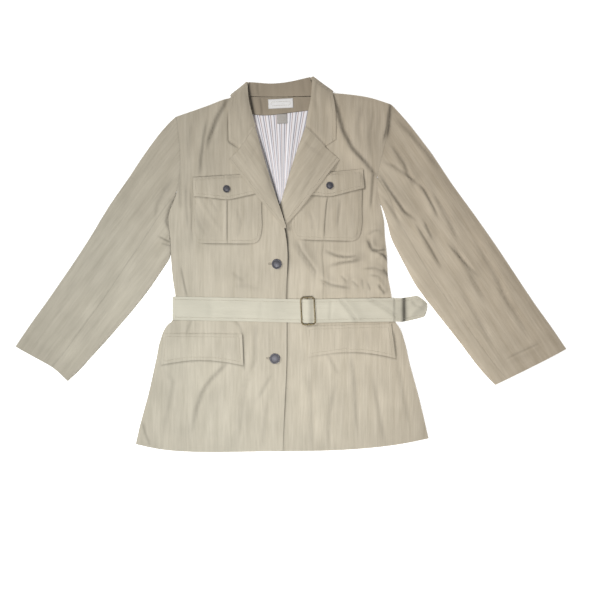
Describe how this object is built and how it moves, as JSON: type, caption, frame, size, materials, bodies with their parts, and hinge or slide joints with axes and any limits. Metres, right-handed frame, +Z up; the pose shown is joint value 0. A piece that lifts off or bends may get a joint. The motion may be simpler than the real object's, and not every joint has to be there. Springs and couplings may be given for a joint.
{
  "type": "belted utility jacket",
  "caption": "Khaki utility jacket laid flat, with notched lapels, flapped pleat pockets, hip flaps, metal buttons and a self belt fastened through a wire buckle.",
  "frame": {"origin": "middle of the jacket's plan box, on the surface it lies on", "axes": "+X towards the wearer's left sleeve, +Y towards the collar, +Z up from the surface"},
  "size_m": [1.1542, 0.7878, 0.0171],
  "materials": {
    "shell_cloth": "matt khaki plain weave with fine upright slubs",
    "belt_cloth": "matt pale khaki plain weave",
    "lining_cloth": "smooth white lining with thin grey-blue and brown stripes",
    "label_cloth": "woven satin, blank",
    "tab_cloth": "woven satin, blank",
    "button_metal": "dark pewter, satin",
    "buckle_metal": "dark aged brass, satin"
  },
  "bodies": {
    "root": {"back": "shell_cloth", "front_right": "shell_cloth", "front_left": "shell_cloth", "sleeve_upper_right": "shell_cloth", "sleeve_upper_left": "shell_cloth", "sleeve_under_right": "shell_cloth", "sleeve_under_left": "shell_cloth", "collar_fall": "shell_cloth", "collar_stand": "shell_cloth", "lapel_right": "shell_cloth", "lapel_left": "shell_cloth", "neck_facing": "shell_cloth", "chest_pocket_right": "shell_cloth", "chest_pocket_left": "shell_cloth", "chest_flap_right": "shell_cloth", "chest_flap_left": "shell_cloth", "hip_flap_right": "shell_cloth", "hip_flap_left": "shell_cloth", "belt": "belt_cloth", "back_lining": "lining_cloth", "neck_label": "label_cloth", "size_tab": "tab_cloth", "button_front_upper": "button_metal", "button_front_lower": "button_metal", "button_pocket_right": "button_metal", "button_pocket_left": "button_metal", "buckle": "buckle_metal"}
  },
  "joints": []
}
